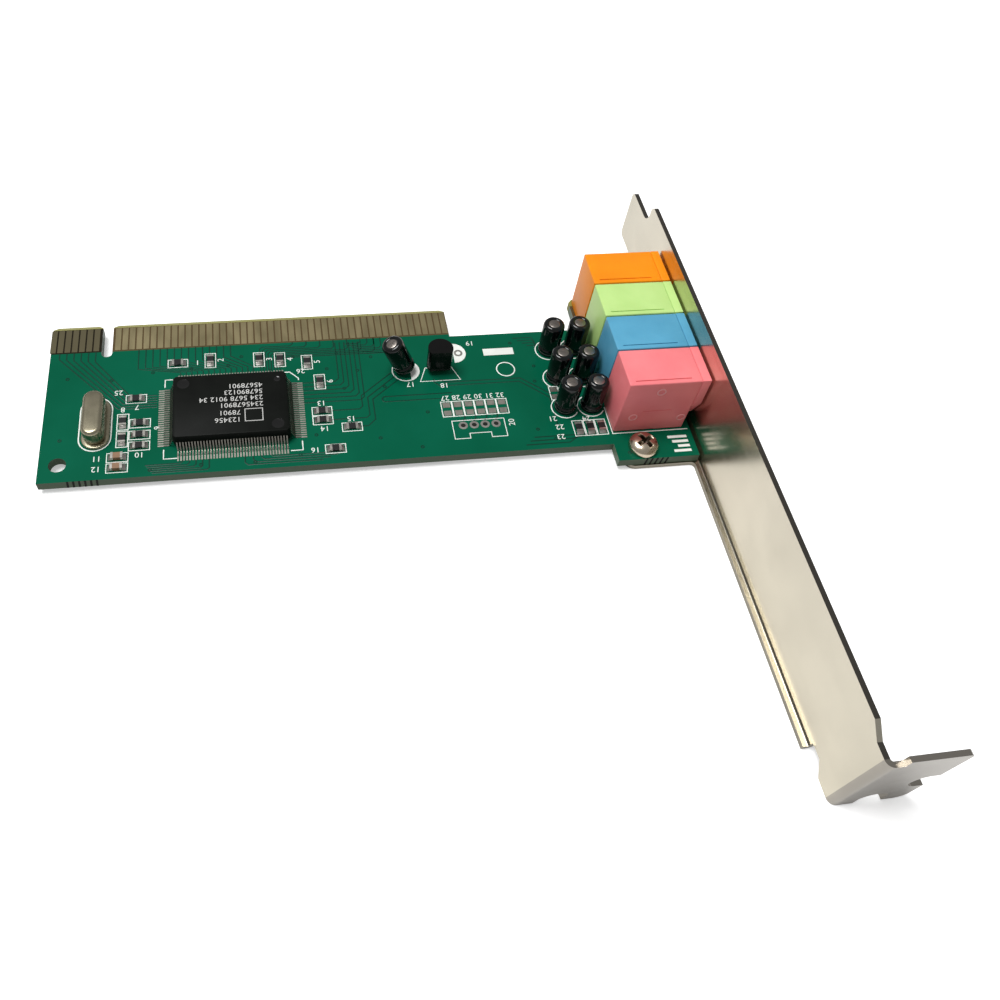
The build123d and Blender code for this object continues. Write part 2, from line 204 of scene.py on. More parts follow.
def compare(material, value, operation, limit):
    node = material.node_tree.nodes.new("ShaderNodeMath")
    node.operation = operation
    node.inputs[1].default_value = limit
    material.node_tree.links.new(value, node.inputs[0])
    return node.outputs["Value"]


def both_masks(material, first, second):
    """A mask that is 1 only where both masks are 1."""
    node = material.node_tree.nodes.new("ShaderNodeMath")
    node.operation = "MULTIPLY"
    material.node_tree.links.new(first, node.inputs[0])
    material.node_tree.links.new(second, node.inputs[1])
    return node.outputs["Value"]


def axes_of(material, output):
    """X, Y and Z of the object's own coordinates or of its normal."""
    nodes = material.node_tree.nodes
    place = nodes.new("ShaderNodeTexCoord")
    split = nodes.new("ShaderNodeSeparateXYZ")
    material.node_tree.links.new(place.outputs[output], split.inputs["Vector"])
    return split.outputs


def board_lacquer():
    """Green lacquer, bare laminate round the contacts, and pale glass fibre on every cut edge."""
    material, shader = new_material("board_lacquer", (0.001, 0.105, 0.055), 0.24)
    shader.inputs["Specular IOR Level"].default_value = 0.06
    cloud = object_noise(material, 60.0, 3.0)
    vary_colour(material, shader, cloud, (0.001, 0.088, 0.044), (0.002, 0.106, 0.056))
    place = axes_of(material, "Object")
    bare = compare(material, place["Y"], "GREATER_THAN", DATUM_Y - 0.25 * MM)
    overlay(material, shader, bare, (0.090, 0.062, 0.030))
    past_notch = compare(material, place["X"], "LESS_THAN", DATUM_X + KEY_NOTCH * MM)
    short_row = both_masks(material, bare, past_notch)
    overlay(material, shader, short_row, (0.016, 0.013, 0.008))
    facing = axes_of(material, "Normal")
    upright = material.node_tree.nodes.new("ShaderNodeMath")
    upright.operation = "ABSOLUTE"
    material.node_tree.links.new(facing["Z"], upright.inputs[0])
    edge = compare(material, upright.outputs["Value"], "LESS_THAN", 0.97)
    overlay(material, shader, edge, (0.15, 0.20, 0.14))
    bevel = compare(material, place["Y"], "GREATER_THAN", contact_high.y + 0.15 * MM)
    overlay(material, shader, bevel, (0.25, 0.24, 0.065))
    grain = object_noise(material, 2600.0, 2.0)
    add_bump(material, shader, grain, 0.10, 0.00002)
    return material


def plain_lacquer(name, dark, light, roughness):
    material, shader = new_material(name, light, roughness)
    shader.inputs["Specular IOR Level"].default_value = 0.2
    cloud = object_noise(material, 220.0, 3.0)
    vary_colour(material, shader, cloud, dark, light)
    return material


def moulded_plastic(name, dark, light, roughness=0.36):
    material, shader = new_material(name, light, roughness)
    cloud = object_noise(material, 140.0, 4.0)
    vary_colour(material, shader, cloud, dark, light)
    grain = object_noise(material, 3200.0, 2.0)
    add_bump(material, shader, grain, 0.12, 0.00003)
    shader.inputs["Specular IOR Level"].default_value = 0.30
    shader.inputs["Subsurface Weight"].default_value = 0.05
    shader.inputs["Subsurface Radius"].default_value = (0.002, 0.001, 0.0008)
    return material


def plated_steel(name, dark, light):
    """Bright nickel plate with faint rolling marks."""
    material, shader = new_material(name, light, 0.24, 1.0)
    cloud = object_noise(material, 90.0, 3.0)
    vary_colour(material, shader, cloud, dark, light)
    streak = object_noise(material, 500.0, 3.0, (1.0, 0.12, 1.0))
    vary_roughness(material, shader, streak, 0.17, 0.30)
    add_bump(material, shader, streak, 0.05, 0.00002)
    return material


def darken_sheared_edge(material):
    """The plating is thin on the sheared long edges, which face up and down."""
    shader = material.node_tree.nodes["Principled BSDF"]
    up = compare(material, axes_of(material, "Normal")["Z"], "GREATER_THAN", 0.9)
    overlay(material, shader, up, (0.13, 0.12, 0.105))


def darken_recess(material):
    """Painted shade in the driver recess, which lies lower than the dome round it."""
    nodes = material.node_tree.nodes
    links = material.node_tree.links
    place = nodes.new("ShaderNodeTexCoord")
    axis = nodes.new("ShaderNodeMapping")
    axis.inputs["Location"].default_value = (-screw_middle.x, -screw_middle.y, 0.0)
    axis.inputs["Scale"].default_value = (1.0, 1.0, 0.0)
    reach = nodes.new("ShaderNodeVectorMath")
    reach.operation = "LENGTH"
    links.new(place.outputs["Object"], axis.inputs["Vector"])
    links.new(axis.outputs["Vector"], reach.inputs[0])
    near = compare(material, reach.outputs["Value"], "LESS_THAN", 1.85 * MM)
    low = compare(material, axes_of(material, "Object")["Z"], "LESS_THAN", TOP + 1.45 * MM)
    recess = both_masks(material, near, low)
    overlay(material, nodes["Principled BSDF"], recess, (0.15, 0.12, 0.09))


def tinned(name, colour, low, high, scale=1500.0):
    material, shader = new_material(name, colour, low, 1.0)
    grain = object_noise(material, scale, 3.0)
    dark = tuple(part * 0.88 for part in colour)
    vary_colour(material, shader, grain, dark, colour)
    vary_roughness(material, shader, grain, low, high)
    return material


def gold_plate():
    material, shader = new_material("contact_gold", (0.50, 0.42, 0.26), 0.4, 0.75)
    cloud = object_noise(material, 420.0, 3.0, (1.0, 0.3, 1.0))
    vary_colour(material, shader, cloud, (0.22, 0.185, 0.098), (0.295, 0.248, 0.135))
    vary_roughness(material, shader, cloud, 0.34, 0.46)
    # Painted dark reflection: the contacts of the short row past the key notch are darker.
    dark_reflection = compare(material, axes_of(material, "Object")["X"], "LESS_THAN", DATUM_X + KEY_NOTCH * MM)
    overlay(material, shader, dark_reflection, (0.12, 0.104, 0.058))
    return material


def black_case(name, colour, roughness, shine=0.5, relief=0.1):
    material, shader = new_material(name, colour, roughness)
    shader.inputs["Specular IOR Level"].default_value = shine
    grain = object_noise(material, 4200.0, 2.0)
    add_bump(material, shader, grain, relief, 0.00002)
    cloud = object_noise(material, 300.0, 3.0)
    dark = tuple(part * 0.75 for part in colour)
    vary_colour(material, shader, cloud, dark, colour)
    return material


MASK = board_lacquer()
CHIP_INK = plain_lacquer("chip_ink", (0.50, 0.50, 0.48), (0.60, 0.60, 0.58), 0.6)
TRACK = plain_lacquer("track_lacquer", (0.001, 0.036, 0.020), (0.001, 0.046, 0.026), 0.34)
WHITE_INK = plain_lacquer("white_ink", (0.74, 0.76, 0.72), (0.84, 0.86, 0.82), 0.55)
# Painted shade for the holes of the ring pads and the notches of the edge bites.
SHADE = plain_lacquer("painted_shade_black", (0.010, 0.012, 0.010), (0.020, 0.022, 0.018), 0.8)
# The tab and fold use the plate's nickel made darker: painted shade that damps the lamp's reflection in the
# fold.
SHADED_FOLD_NICKEL = plated_steel("fold_nickel_painted_shade", (0.24, 0.22, 0.178), (0.30, 0.275, 0.22))
# The ear uses the plate's nickel made darker: painted shade for the floor shadow that its face mirrors.
SHADED_EAR_NICKEL = plated_steel("ear_nickel_painted_shade", (0.355, 0.33, 0.29), (0.41, 0.38, 0.335))
PLATE = plated_steel("plate_nickel", (0.57, 0.53, 0.435), (0.64, 0.595, 0.49))
darken_sheared_edge(PLATE)
BRONZE = plated_steel("screw_nickel", (0.58, 0.49, 0.37), (0.68, 0.59, 0.46))
# Painted shade in the cross recess of the screw head.
darken_recess(BRONZE)
GOLD = gold_plate()
# The chip leads' tin is darker than the solder's: painted shade from under the edge of the chip body.
SHADED_LEAD_TIN = tinned("lead_tin_painted_shade", (0.30, 0.285, 0.25), 0.24, 0.40)
TIN = tinned("solder_tin", (0.54, 0.52, 0.48), 0.22, 0.42)
JOINT_TIN = tinned("joint_tin", (0.44, 0.42, 0.39), 0.26, 0.42)
# Rough, dull tin for the pads; its darker colour is painted shade from under the chip's edge, and the empty
# pads share it.
DULL_SHADED_TIN = tinned("dull_tin_painted_shade", (0.36, 0.34, 0.30), 0.36, 0.50)
CAN = tinned("crystal_metal", (0.38, 0.345, 0.245), 0.22, 0.32, 260.0)
LID = tinned("lid_aluminium", (0.30, 0.27, 0.245), 0.28, 0.40, 600.0)
CHIP_BLACK = black_case("moulding_black", (0.006, 0.007, 0.006), 0.42, 0.05)
# A paler copy of the pink plastic for the raised ejector rims: painted highlight.
PINK_RIM_HIGHLIGHT = moulded_plastic("boss_pink_painted_highlight", (0.94, 0.40, 0.42), (0.98, 0.46, 0.48))
MARK_BLACK = black_case("polished_black", (0.004, 0.004, 0.004), 0.12)
REGULATOR_BLACK = black_case("regulator_black", (0.003, 0.003, 0.003), 0.20, 0.20, 0.0)
SLEEVE_BLACK = black_case("sleeve_black", (0.003, 0.004, 0.004), 0.13, 0.40, 0.04)
RESISTOR_BLACK = black_case("resistor_glaze", (0.014, 0.014, 0.015), 0.25)
CERAMIC_TAN = black_case("ceramic_tan", (0.26, 0.14, 0.07), 0.45)
PLASTICS = {
    "pink": moulded_plastic("plastic_pink", (0.86, 0.205, 0.225), (0.93, 0.245, 0.26)),
    "blue": moulded_plastic("plastic_blue", (0.085, 0.33, 0.51), (0.105, 0.38, 0.57)),
    "green": moulded_plastic("plastic_green", (0.48, 0.72, 0.235), (0.54, 0.78, 0.275)),
    "orange": moulded_plastic("plastic_orange", (0.88, 0.255, 0.0), (0.95, 0.29, 0.002)),
}


def dress(node, material):
    """Gives a solid of the frame its finish."""
    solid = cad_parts[node]
    solid.data.materials.clear()
    solid.data.materials.append(material)


for colour_name in JACK_COLOURS:
    dress("jack_" + colour_name, PLASTICS[colour_name])
for index in range(1, 8):
    dress(f"capacitor_{index}", SLEEVE_BLACK)
for node_name in ("jack_pins", "crystal_pins", "capacitor_leads", "regulator_leads", "tinned_ends"):
    dress(node_name, TIN)
for node_name, finish in (
    ("bracket_tab", SHADED_FOLD_NICKEL),
    ("bracket_ear", SHADED_EAR_NICKEL),
    ("bracket_plate", PLATE),
    ("bracket_screw", BRONZE),
    ("chip_leads", SHADED_LEAD_TIN),
    ("chip_body", CHIP_BLACK),
    ("circuit_board", MASK),
    ("contacts_top", GOLD),
    ("regulator_body", REGULATOR_BLACK),
    ("crystal_can", CAN),
    ("resistor_bodies", RESISTOR_BLACK),
    ("ceramic_bodies", CERAMIC_TAN),
):
    dress(node_name, finish)


# Hand tools


def deselect():
    bpy.ops.object.select_all(action="DESELECT")


def pick(piece):
    deselect()
    piece.select_set(True)
    bpy.context.view_layer.objects.active = piece


def edit_all(piece):
    pick(piece)
    bpy.ops.object.mode_set(mode="EDIT")
    bpy.ops.mesh.select_all(action="SELECT")


def leave_edit():
    bpy.ops.object.mode_set(mode="OBJECT")


def edit_where(piece, chosen):
    """Enters edit mode with only the vertices selected for which chosen(place) holds."""
    edit_all(piece)
    bpy.ops.mesh.select_all(action="DESELECT")
    leave_edit()
    for vertex in piece.data.vertices:
        vertex.select = chosen(vertex.co)
    bpy.ops.object.mode_set(mode="EDIT")


def settle(piece):
    """Puts a piece's place, turn and size into its mesh."""
    pick(piece)
    bpy.ops.object.transform_apply(location=True, rotation=True, scale=True)


def add_box(low, high):
    """A cube stretched between two corners."""
    deselect()
    bpy.ops.mesh.primitive_cube_add(size=1.0, location=(Vector(low) + Vector(high)) / 2)
    piece = bpy.context.active_object
    piece.scale = Vector(high) - Vector(low)
    settle(piece)
    return piece


def add_rod(centre, radius, length, turn=(0.0, 0.0, 0.0), points=32):
    """A cylinder that is only used as a cutter or as part of a larger shape."""
    deselect()
    bpy.ops.mesh.primitive_cylinder_add(
        vertices=points, radius=radius, depth=length, location=centre, rotation=turn
    )
    piece = bpy.context.active_object
    settle(piece)
    return piece


def add_path(points):
    """A chain of edges, drawn by extruding one vertex from point to point."""
    deselect()
    bpy.ops.mesh.primitive_plane_add(size=MM, location=(0.0, 0.0, 0.0))
    piece = bpy.context.active_object
    edit_all(piece)
    bpy.ops.mesh.merge(type="CENTER")
    here = Vector(points[0])
    bpy.ops.transform.translate(value=here)
    for point in points[1:]:
        step = Vector(point) - here
        bpy.ops.mesh.extrude_region_move(TRANSFORM_OT_translate={"value": step})
        here = Vector(point)
    leave_edit()
    return piece


def add_slab(points, thickness):
    """A flat outline filled with a face and extruded along a vector."""
    piece = add_path(points)
    edit_all(piece)
    bpy.ops.mesh.edge_face_add()
    bpy.ops.mesh.extrude_region_move(TRANSFORM_OT_translate={"value": thickness})
    bpy.ops.mesh.select_all(action="SELECT")
    bpy.ops.mesh.normals_make_consistent(inside=False)
    leave_edit()
    return piece


def add_lathe(profile, steps=36):
    """Spins a profile of (radius, height) in millimetres about the Z axis."""
    piece = add_path([Vector((radius * MM, 0.0, height * MM)) for radius, height in profile])
    edit_all(piece)
    bpy.ops.mesh.spin(steps=steps, angle=2 * math.pi, center=(0.0, 0.0, 0.0), axis=(0.0, 0.0, 1.0))
    bpy.ops.mesh.select_all(action="SELECT")
    bpy.ops.mesh.remove_doubles(threshold=0.002 * MM)
    bpy.ops.mesh.normals_make_consistent(inside=False)
    leave_edit()
    return piece


def use_modifier(piece, kind, **settings):
    pick(piece)
    modifier = piece.modifiers.new("step", kind)
    for name, value in settings.items():
        setattr(modifier, name, value)
    bpy.ops.object.modifier_apply(modifier=modifier.name)


def soften(piece, width, segments=2, angle=35.0):
    use_modifier(piece, "BEVEL", width=width, segments=segments,
                 limit_method="ANGLE", angle_limit=math.radians(angle))


def discard(piece):
    bpy.data.objects.remove(piece, do_unlink=True)


def carve(piece, cutter, operation="DIFFERENCE"):
    """Cuts a piece with another, or unites them, and removes the other."""
    use_modifier(piece, "BOOLEAN", operation=operation, object=cutter, solver="EXACT")
    discard(cutter)


def repeat(piece, count, step):
    use_modifier(piece, "ARRAY", count=count, use_relative_offset=False,
                 use_constant_offset=True, constant_offset_displace=step)


def twin(piece, place, turn=(0.0, 0.0, 0.0)):
    """A copy, with its own mesh, of a piece that was modelled at the origin."""
    pick(piece)
    bpy.ops.object.duplicate(linked=False)
    copy = bpy.context.active_object
    copy.location = place
    copy.rotation_euler = turn
    settle(copy)
    return copy


def join(pieces):
    deselect()
    for piece in pieces:
        piece.select_set(True)
    bpy.context.view_layer.objects.active = pieces[0]
    bpy.ops.object.join()
    return bpy.context.active_object


def publish(piece, name, material, nodes=(), smooth=0.0):
    """Names a finished piece, gives it its finish and ties it to the card."""
    piece.name = name
    piece.data.name = name
    piece.data.materials.clear()
    piece.data.materials.append(material)
    if smooth:
        pick(piece)
        bpy.ops.object.shade_smooth_by_angle(angle=math.radians(smooth))
    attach(piece, "root")
    if nodes:
        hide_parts(*nodes)


def draw_lines(paths, width, rise, level):
    """Flat ridges along paths on one face of the board, with rounded backs."""
    piece = join([add_path([on_card(x, y, 0.0) for x, y in path]) for path in paths])
    edit_all(piece)
    bpy.ops.mesh.remove_doubles(threshold=0.002 * MM)
    leave_edit()
    bpy.ops.object.convert(target="CURVE")
    line = bpy.context.active_object
    line.data.dimensions = "3D"
    line.data.fill_mode = "FULL"
    line.data.bevel_depth = width / 2
    line.data.bevel_resolution = 1
    line.data.use_fill_caps = True
    bpy.ops.object.convert(target="MESH")
    piece = bpy.context.active_object
    edit_all(piece)
    flatten = rise / (width / 2)
    bpy.ops.transform.resize(value=(1.0, 1.0, flatten), center_override=(0.0, 0.0, TOP))
    bpy.ops.transform.translate(value=(0.0, 0.0, level - TOP))
    bpy.ops.mesh.normals_make_consistent(inside=False)
    leave_edit()
    return piece


def arc(x, y, radius, start, end, steps=20):
    """Points along an arc, in degrees, counted on the card."""
    angles = [math.radians(start + (end - start) * i / steps) for i in range(steps + 1)]
    return [(x + radius * math.cos(angle), y + radius * math.sin(angle)) for angle in angles]


def frame_path(x, y, length, width):
    """A closed rectangle round a place on the card."""
    right, up = length / 2, width / 2
    corners = [(x - right, y - up), (x + right, y - up), (x + right, y + up), (x - right, y + up)]
    return corners + corners[:1]


def obround(x, y, length, width, steps=12):
    """A closed slot shape that is long along Y."""
    radius = width / 2
    reach = length / 2 - radius
    return arc(x, y + reach, radius, 0, 180, steps) + arc(x, y - reach, radius, 180, 360, steps)


# Contacts and pads


def model_contacts_under():
    """The gold plates of the solder face, in two rows either side of the key notch."""
    first = on_card(0.0, 0.0) + Vector((-PITCH, 0.0, 0.0))
    length = contact_high.y - contact_low.y
    rows = []
    for start, count in CONTACT_ROWS:
        x = first.x - start * PITCH
        low = Vector((x - CONTACT_WIDTH / 2, DATUM_Y, UNDER - CONTACT_THICK))
        plate = add_box(low, Vector((x + CONTACT_WIDTH / 2, DATUM_Y + length, UNDER)))
        soften(plate, 0.02 * MM, 1)
        repeat(plate, count, (-PITCH, 0.0, 0.0))
        rows.append(plate)
    publish(join(rows), "contacts_under", GOLD)


def model_chip_pads():
    """A tinned pad under each lead of the chip, longer than the lead's foot."""
    centre = (chip_low + chip_high) / 2
    inner, outer, half, high = 0.85 * MM, 2.7 * MM, 0.15 * MM, 0.035 * MM
    short_reach = (CHIP_SHORT_ROW - 1) / 2 * CHIP_PITCH
    long_reach = (CHIP_LONG_ROW - 1) / 2 * CHIP_PITCH
    rows = []
    for side in (-1, 1):
        reach_x = (chip_high.x - chip_low.x) / 2
        low = (centre.x + side * (reach_x + inner), centre.y - short_reach - half, TOP)
        high_corner = (centre.x + side * (reach_x + outer), centre.y - short_reach + half, TOP + high)
        pad = add_box(low, high_corner)
        repeat(pad, CHIP_SHORT_ROW, (0.0, CHIP_PITCH, 0.0))
        rows.append(pad)
        reach_y = (chip_high.y - chip_low.y) / 2
        low = (centre.x - long_reach - half, centre.y + side * (reach_y + inner), TOP)
        high_corner = (centre.x - long_reach + half, centre.y + side * (reach_y + outer), TOP + high)
        pad = add_box(low, high_corner)
        repeat(pad, CHIP_LONG_ROW, (CHIP_PITCH, 0.0, 0.0))
        rows.append(pad)
    pads = join(rows)
    edit_all(pads)
    bpy.ops.mesh.normals_make_consistent(inside=False)
    leave_edit()
    soften(pads, 0.015 * MM, 1)
    publish(pads, "chip_pads", DULL_SHADED_TIN)


def model_small_joints():
    """Solder that climbs the ends of the small parts, and the bare pads of the parts left out."""
    climb = [(0.97, 0.0), (1.52, 0.0), (1.46, 0.06), (1.24, 0.13), (1.07, 0.30), (0.97, 0.36)]
    half = 0.64 * MM
    points = [Vector((x * MM, -half, z * MM)) for x, z in climb]
    joint = add_slab(points, Vector((0.0, 2 * half, 0.0)))
    pair = join([joint, twin(joint, (0.0, 0.0, 0.0), (0.0, 0.0, math.pi))])
    soften(pair, 0.04 * MM, 2, 50.0)
    joints = [twin(pair, on_card(x, y), (0.0, 0.0, math.radians(turn))) for x, y, turn in small_parts]
    discard(pair)
    publish(join(joints), "small_joints", JOINT_TIN, smooth=40.0)

    pad = add_box((-0.68 * MM, -0.58 * MM, 0.0), (0.68 * MM, 0.58 * MM, 0.035 * MM))
    soften(pad, 0.02 * MM, 1)
    places = [on_card(x, y + side * 0.95) for x, y in empty_parts for side in (-1, 1)]
    places += [on_card(lone_empty_part[0], lone_empty_part[1] + side * 0.9) for side in (-1, 1)]
    pads = [twin(pad, place) for place in places]
    discard(pad)
    publish(join(pads), "empty_pads", DULL_SHADED_TIN)


def model_ring_pads():
    """Round pads with painted shade for the hole: the header's, and those of the capacitor that is left
    out.
    """
    ring = add_lathe([(0.42, 0.0), (0.85, 0.0), (0.83, 0.04), (0.45, 0.05), (0.42, 0.0)], 28)
    well = add_lathe([(0.0, 0.0), (0.43, 0.0), (0.43, 0.012), (0.0, 0.012)], 28)
    places = [on_card(x, y) for x, y in header_holes + empty_can_holes]
    rings = [twin(ring, place) for place in places]
    wells = [twin(well, place) for place in places]
    discard(ring)
    discard(well)
    publish(join(rings), "ring_pads", TIN, smooth=40.0)
    publish(join(wells), "ring_wells", SHADE, smooth=40.0)


def model_vias():
    """Small lacquered rings where a track goes through the board."""
    via = add_lathe([(0.13, 0.0), (0.36, 0.0), (0.33, 0.035), (0.18, 0.04), (0.13, 0.0)], 16)
    places = [(-70.6, -6.5), (-67.3, -13.5), (-70.9, -20.5), (-63.0, -7.4), (-55.8, -6.0), (-49.0, -5.6),
              (-42.4, -5.2), (-40.0, -3.2), (-34.8, -7.0), (-30.6, -4.0), (-24.6, -7.4), (-22.5, -3.6),
              (-19.0, -8.2), (-16.2, -5.0), (-14.4, -12.6), (-55.8, -28.0), (-47.4, -27.6), (-38.3, -27.8),
              (-30.6, -27.0), (-27.6, -22.8), (-16.5, -24.4), (-9.4, -27.0), (11.8, -24.8), (13.6, -13.4),
              (10.8, -3.4), (14.2, -9.6), (-21.8, -12.4), (-7.4, -19.2), (14.6, -27.2), (27.2, -31.4)]
    vias = [twin(via, on_card(x, y)) for x, y in places]
    discard(via)
    publish(join(vias), "vias", TRACK, smooth=40.0)


# Tracks under the lacquer


def track_paths():
    """Tracks in bundles that don't cross, from the contacts to the chip and on to the small parts."""
    paths = []
    for k in range(6):
        start = -72.4 + CONTACT_STEP * k
        level = -14.2 + 0.55 * k
        paths.append([(start, -0.2), (start, -1.6 - 0.2 * k), (-61.5 + 0.4 * k, level), (-54.9, level)])
    for k in range(14):
        lead = -50.9 + 1.0 * k
        contact = -CONTACT_STEP * (46 - k)
        paths.append([(lead, -7.2), (lead, -6.4 + 0.05 * k), (contact, -5.0 + 0.16 * k), (contact, -0.2)])
    for k in range(8):
        lead = -36.6 + 0.5 * k
        level = -1.1 - 0.42 * k
        contact = -CONTACT_STEP * (24 - 2 * k)
        paths.append([(lead, -7.2), (lead, level - 0.5), (lead + 0.5, level), (contact - 0.5, level),
                      (contact, level + 0.5), (contact, -0.2)])
    for k in range(6):
        level = -10.6 - 0.95 * k
        column = -22.6 + 0.85 * k
        paths.append([(-29.3, level), (column - 0.7, level), (column, level + 0.7), (column, -0.9)])
    for k in range(5):
        lead = -50.4 + 1.1 * k
        level = -27.0 - 0.42 * k
        paths.append([(lead, -26.4), (lead, level + 0.4), (lead - 0.4, level), (-56.6 + 0.3 * k, level)])
    for k in range(4):
        lead = -40.0 + 1.4 * k
        level = -28.3 + 0.5 * k
        paths.append([(lead, -26.4), (lead, level + 0.5), (lead + 0.5, level), (-26.8 + 1.3 * k, level)])
    for k in range(7):
        contact = -CONTACT_STEP * (14 - k)
        level = -1.4 - 0.45 * k
        end = -20.8 + 0.6 * k
        paths.append([(contact, -0.2), (contact, level + 0.5), (contact - 0.5, level), (end, level)])
    for k in range(4):
        level = -2.2 - 0.7 * k
        paths.append([(11.5 + 0.8 * k, level), (15.2 + 0.1 * k, level), (15.6 + 0.1 * k, -3.4 - 0.8 * k)])
    paths.append([(-11.2, -10.6), (-16.9, -15.4), (-16.9, -20.1), (-18.3, -21.5), (-19.6, -21.5)])
    paths.append([(-12.2, -10.1), (-17.8, -14.9), (-17.8, -19.0), (-18.4, -19.6), (-24.9, -19.6)])
    paths.append([(-12.9, -9.3), (-18.9, -14.4), (-18.9, -16.9), (-19.5, -17.5), (-24.9, -17.5)])
    paths.append([(-3.9, -11.6), (-3.1, -12.4), (11.0, -12.4), (18.4, -18.8)])
    paths.append([(-5.2, -11.4), (-5.2, -12.2), (-4.2, -13.2), (10.7, -13.2), (15.6, -17.6), (15.6, -24.4)])
    bend = arc(-14.6, -15.6, 0.6, 90, 270, 8)
    paths.append([(-2.3, -15.0), (-14.6, -15.0)] + bend + [(-14.6, -16.2), (-3.9, -16.2), (-3.9, -17.4)])
    for k in range(4):
        x = header_holes[k][0]
        paths.append([(x, -22.0), (x + 0.6, -21.2), (x + 0.6, -20.4)])
    for k in range(3):
        level = -28.2 + 0.8 * k
        paths.append([(9.0 + 0.9 * k, level), (17.0 + 0.5 * k, level), (19.3 + 2.1 * k, -26.6)])
    return paths


def model_tracks():
    tracks = draw_lines(track_paths(), TRACK_LINE, TRACK_RISE, TOP)
    publish(tracks, "tracks", TRACK, smooth=60.0)


# White print


def print_paths():
    """Frames, arcs and corner marks of the white print."""
    paths = [frame_path(x, y, 3.5, 1.9) for x, y, turn in small_parts if turn == 0.0]
    paths += [frame_path(x, y, 1.9, 3.5) for x, y, turn in small_parts if turn == 90.0]
    paths += [frame_path(x, y, 1.9, 3.5) for x, y in empty_parts]
    paths.append(frame_path(*lone_empty_part, 1.7, 3.2))
    paths.append([(-53.6, -23.9), (-53.6, -25.9), (-51.2, -25.9)])
    paths.append([(-53.6, -9.8), (-53.6, -8.0), (-52.2, -8.0)])
    paths.append([(-32.2, -25.9), (-30.1, -25.9), (-30.1, -23.9)])
    paths.append([(-32.4, -7.7), (-31.4, -7.7), (-29.9, -9.3), (-29.9, -9.8)])
    slot = obround(-65.15, -17.3, 11.8, 5.35)
    paths.append(slot + slot[:1])
    paths.append(arc(*leaning_ring, 2.5, 0, 360, 32))
    paths.append([(-7.7, -11.9), (-0.2, -11.9), (-1.5, -8.6), (-6.4, -8.6), (-7.7, -11.9)])
    for place in cap_places:
        paths.append(arc(place[0], place[1], 2.45, 100, 330, 24))
    paths.append([(-3.4, -21.7), (6.1, -21.7), (6.1, -25.8), (3.3, -25.8), (3.3, -24.7), (-0.6, -24.7),
                  (-0.6, -25.8), (-3.4, -25.8), (-3.4, -21.7)])
    paths.append([(25.2, -20.7), (25.2, -26.95), (39.3, -26.95)])
    paths.append(arc(8.7, -10.0, 1.7, 0, 360, 28))
    paths.append(arc(*empty_can_middle, 2.35, -90, 90, 20))
    return paths


def model_print():
    lines = draw_lines(print_paths(), INK_LINE, INK, TOP)
    publish(lines, "print_lines", WHITE_INK, smooth=60.0)
    thick = Vector((0.0, 0.0, INK * 0.6))
    half = [on_card(x, y) for x, y in arc(*empty_can_middle, 2.3, -90, 90, 20)]
    disc = add_slab(half, thick)
    shade = [on_card(x, y) for x, y in arc(*leaning_ring, 2.4, -70, 70, 16)]
    crescent = add_slab(shade, thick)
    fields = [disc, crescent, add_box(on_card(5.2, -6.3), on_card(11.05, -4.6, 0.02))]
    for index, length in enumerate((3.6, 3.0, 2.2, 3.2)):
        y = -28.6 - 1.05 * index
        fields.append(add_box(on_card(38.6 - length, y - 0.28), on_card(38.6, y + 0.28, 0.02)))
    publish(join(fields), "print_fields", WHITE_INK)


def add_sign(text, place, turn, size, align="CENTER"):
    """A line of figures, made a mesh and laid down turned as on the card."""
    deselect()
    bpy.ops.object.text_add(location=(0.0, 0.0, 0.0))
    figures = bpy.context.active_object.data
    figures.body = text
    figures.size = size
    figures.extrude = INK / 2
    figures.resolution_u = 2
    figures.align_x = align
    figures.align_y = "CENTER"
    bpy.ops.object.convert(target="MESH")
    sign = bpy.context.active_object
    sign.location = place + Vector((0.0, 0.0, INK / 2))
    sign.rotation_euler = (0.0, 0.0, math.radians(turn))
    settle(sign)
    return sign


def model_numbers():
    """Plain counting numbers beside the parts, and lines of figures on the chip."""
    places = [(-47.9, -4.1, 180), (-43.7, -3.8, 90), (-34.9, -4.2, 90), (-31.1, -4.5, 90),
              (-26.2, -5.5, 90), (-24.2, -10.5, 90), (-58.3, -14.0, 180), (-60.7, -14.4, 180),
              (-54.7, -19.0, 90), (-57.6, -24.6, 180), (-64.6, -24.9, 180), (-64.6, -27.1, 180),
              (-26.2, -15.6, 180), (-26.0, -21.5, 180), (-21.2, -19.6, 180), (-28.0, -26.1, 180),
              (-9.6, -12.4, 180), (-3.4, -13.1, 180), (3.0, -2.9, 180), (7.4, -22.8, 90),
              (15.0, -22.6, 180), (15.9, -24.6, 180), (15.6, -26.8, 180), (21.2, -23.1, 180),
              (-61.6, -10.4, 180), (-29.4, -7.6, 180)]
    places += [(x, -16.2, 180) for x, y in empty_parts]
    signs = []
    for number, (x, y, turn) in enumerate(places, start=1):
        signs.append(add_sign(str(number), on_card(x, y), turn, 1.6 * MM))
    publish(join(signs), "print_numbers", WHITE_INK)
    lines = (("123456", -40.2, -20.6), ("78901", -40.2, -19.0), ("2345678901", -36.3, -17.3),
             ("234 5678 9012 34", -36.3, -15.85), ("567890123", -36.3, -14.4), ("45678901", -36.3, -12.95))
    signs = []
    for text, x, y in lines:
        place = on_card(x, y)
        place.z = chip_high.z - INK / 2
        signs.append(add_sign(text, place, 180, 1.5 * MM, "LEFT"))
    box = draw_lines([frame_path(-38.0, -19.75, 3.0, 2.7)], INK_LINE, INK, chip_high.z)
    publish(join(signs + [box]), "chip_numbers", CHIP_INK)


